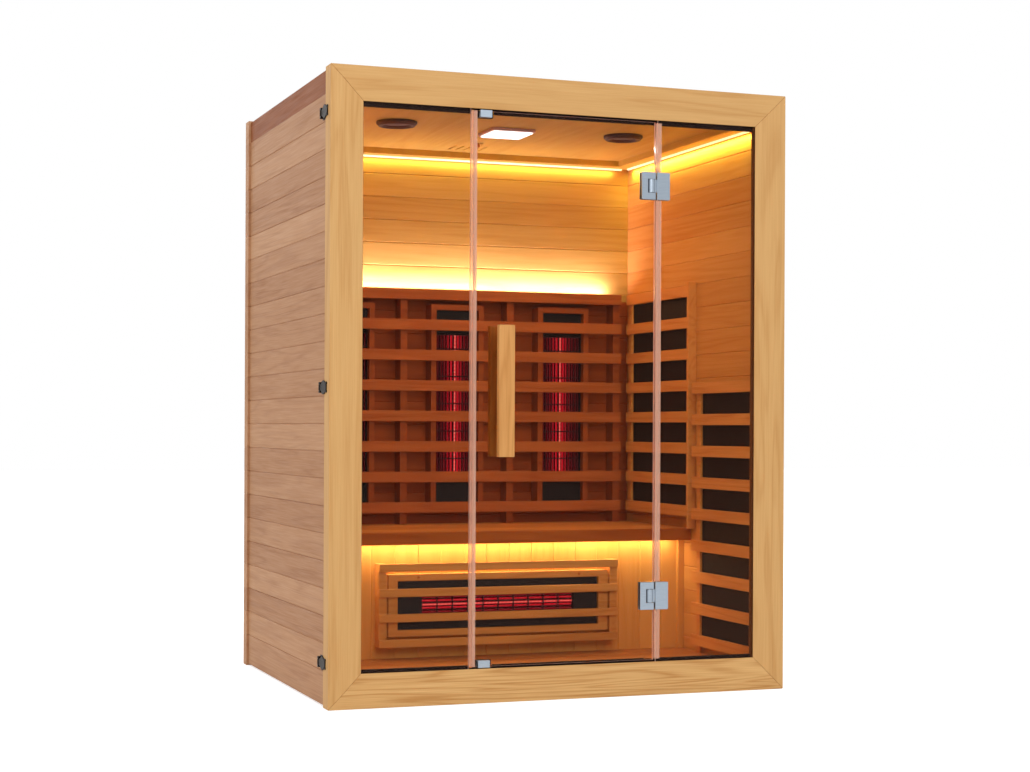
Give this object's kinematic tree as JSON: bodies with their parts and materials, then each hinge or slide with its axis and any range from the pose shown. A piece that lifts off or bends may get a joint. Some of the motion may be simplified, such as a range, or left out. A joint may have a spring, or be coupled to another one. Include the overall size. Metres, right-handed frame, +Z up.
{
  "type": "infrared sauna cabin",
  "caption": "Wooden infrared sauna cabin with a mitred front frame, a full glass front with a hinged glass door, a bench, a slatted backrest, heaters behind slatted guards and a ceiling vent.",
  "frame": {"origin": "middle of the cabin's base, on the floor", "axes": "+X to the right seen from the front, +Y from the glass front to the back wall, +Z up"},
  "size_m": [1.519, 1.2117, 1.905],
  "materials": {
    "frame_wood": "satin clear finish, straight grain",
    "wall_wood": "matt planed boards",
    "crown_wood": "matt planed boards, redder",
    "floor_wood": "matt planed boards",
    "bench_wood": "sanded boards",
    "slat_wood": "sanded slats",
    "kick_wood": "sanded boards",
    "handle_wood": "satin",
    "glass": "clear tempered, polished edges",
    "black_seal": "matt",
    "clear_seal": "clear, slightly pink",
    "steel": "satin",
    "heater_black": "matt black",
    "emitter_red": "glowing red, ribbed",
    "carbon_panel": "matt black film",
    "light_diffuser": "glowing white, pale rim",
    "speaker_brown": "matt dark brown",
    "latch_bronze": "dark bronze"
  },
  "bodies": {
    "cabin": {"frame_left_stile": "frame_wood", "frame_right_stile": "frame_wood", "frame_top_rail": "frame_wood", "frame_bottom_rail": "frame_wood", "left_wall": "wall_wood", "right_wall": "wall_wood", "back_wall": "wall_wood", "roof_panel": "crown_wood", "floor_panel": "floor_wood", "left_glass": "glass", "right_glass": "glass", "glass_seal": "black_seal", "hinge_upper_fixed_leaf": "steel", "hinge_upper_pin": "steel", "hinge_lower_fixed_leaf": "steel", "hinge_lower_pin": "steel", "bench_seat": "bench_wood", "bench_kick_panel": "kick_wood", "backrest_grille": "slat_wood", "calf_guard": "slat_wood", "side_guard_left_rear": "slat_wood", "side_guard_left_front": "slat_wood", "side_guard_right_rear": "slat_wood", "side_guard_right_front": "slat_wood", "calf_heater": "heater_black", "back_heater_left": "heater_black", "back_heater_centre": "heater_black", "back_heater_right": "heater_black", "calf_emitter": "emitter_red", "back_emitter_left": "emitter_red", "back_emitter_centre": "emitter_red", "back_emitter_right": "emitter_red", "side_heater_left_rear": "carbon_panel", "side_heater_left_front": "carbon_panel", "side_heater_right_rear": "carbon_panel", "side_heater_right_front": "carbon_panel", "ceiling_light": "light_diffuser", "speaker_left": "speaker_brown", "speaker_right": "speaker_brown", "latch_base_left_upper": "latch_bronze", "latch_base_left_middle": "latch_bronze", "latch_base_left_lower": "latch_bronze", "latch_base_right_upper": "latch_bronze", "latch_base_right_middle": "latch_bronze", "latch_base_right_lower": "latch_bronze"},
    "door": {"door_glass": "glass", "door_edge_seal": "clear_seal", "hinge_upper_door_leaf": "steel", "hinge_lower_door_leaf": "steel", "handle_outer": "handle_wood", "handle_inner": "handle_wood", "strike_top": "steel", "strike_bottom": "steel"},
    "vent": {"vent_slider": "slat_wood"},
    "left_upper_latch": {"latch_lever_left_upper": "latch_bronze"},
    "left_middle_latch": {"latch_lever_left_middle": "latch_bronze"},
    "left_lower_latch": {"latch_lever_left_lower": "latch_bronze"},
    "right_upper_latch": {"latch_lever_right_upper": "latch_bronze"},
    "right_middle_latch": {"latch_lever_right_middle": "latch_bronze"},
    "right_lower_latch": {"latch_lever_right_lower": "latch_bronze"}
  },
  "joints": [
    {"name": "door_swing", "type": "hinge", "parent": "cabin", "child": "door", "pos_m": [0.288, -0.5707, 0], "axis": [0, 0, 1], "range_deg": [0, 95]},
    {"name": "vent_slide", "type": "slide", "parent": "cabin", "child": "vent", "axis": [1, 0, 0], "range_m": [0, 0.014]},
    {"name": "left_upper_latch_turn", "type": "hinge", "parent": "cabin", "child": "left_upper_latch", "pos_m": [-0.754, -0.487, 1.772], "axis": [0, 0, -1], "range_deg": [0, 110]},
    {"name": "left_middle_latch_turn", "type": "hinge", "parent": "cabin", "child": "left_middle_latch", "pos_m": [-0.754, -0.487, 0.9525], "axis": [0, 0, -1], "range_deg": [0, 110]},
    {"name": "left_lower_latch_turn", "type": "hinge", "parent": "cabin", "child": "left_lower_latch", "pos_m": [-0.754, -0.487, 0.133], "axis": [0, 0, -1], "range_deg": [0, 110]},
    {"name": "right_upper_latch_turn", "type": "hinge", "parent": "cabin", "child": "right_upper_latch", "pos_m": [0.754, -0.487, 1.772], "axis": [0, 0, 1], "range_deg": [0, 110]},
    {"name": "right_middle_latch_turn", "type": "hinge", "parent": "cabin", "child": "right_middle_latch", "pos_m": [0.754, -0.487, 0.9525], "axis": [0, 0, 1], "range_deg": [0, 110]},
    {"name": "right_lower_latch_turn", "type": "hinge", "parent": "cabin", "child": "right_lower_latch", "pos_m": [0.754, -0.487, 0.133], "axis": [0, 0, 1], "range_deg": [0, 110]}
  ]
}
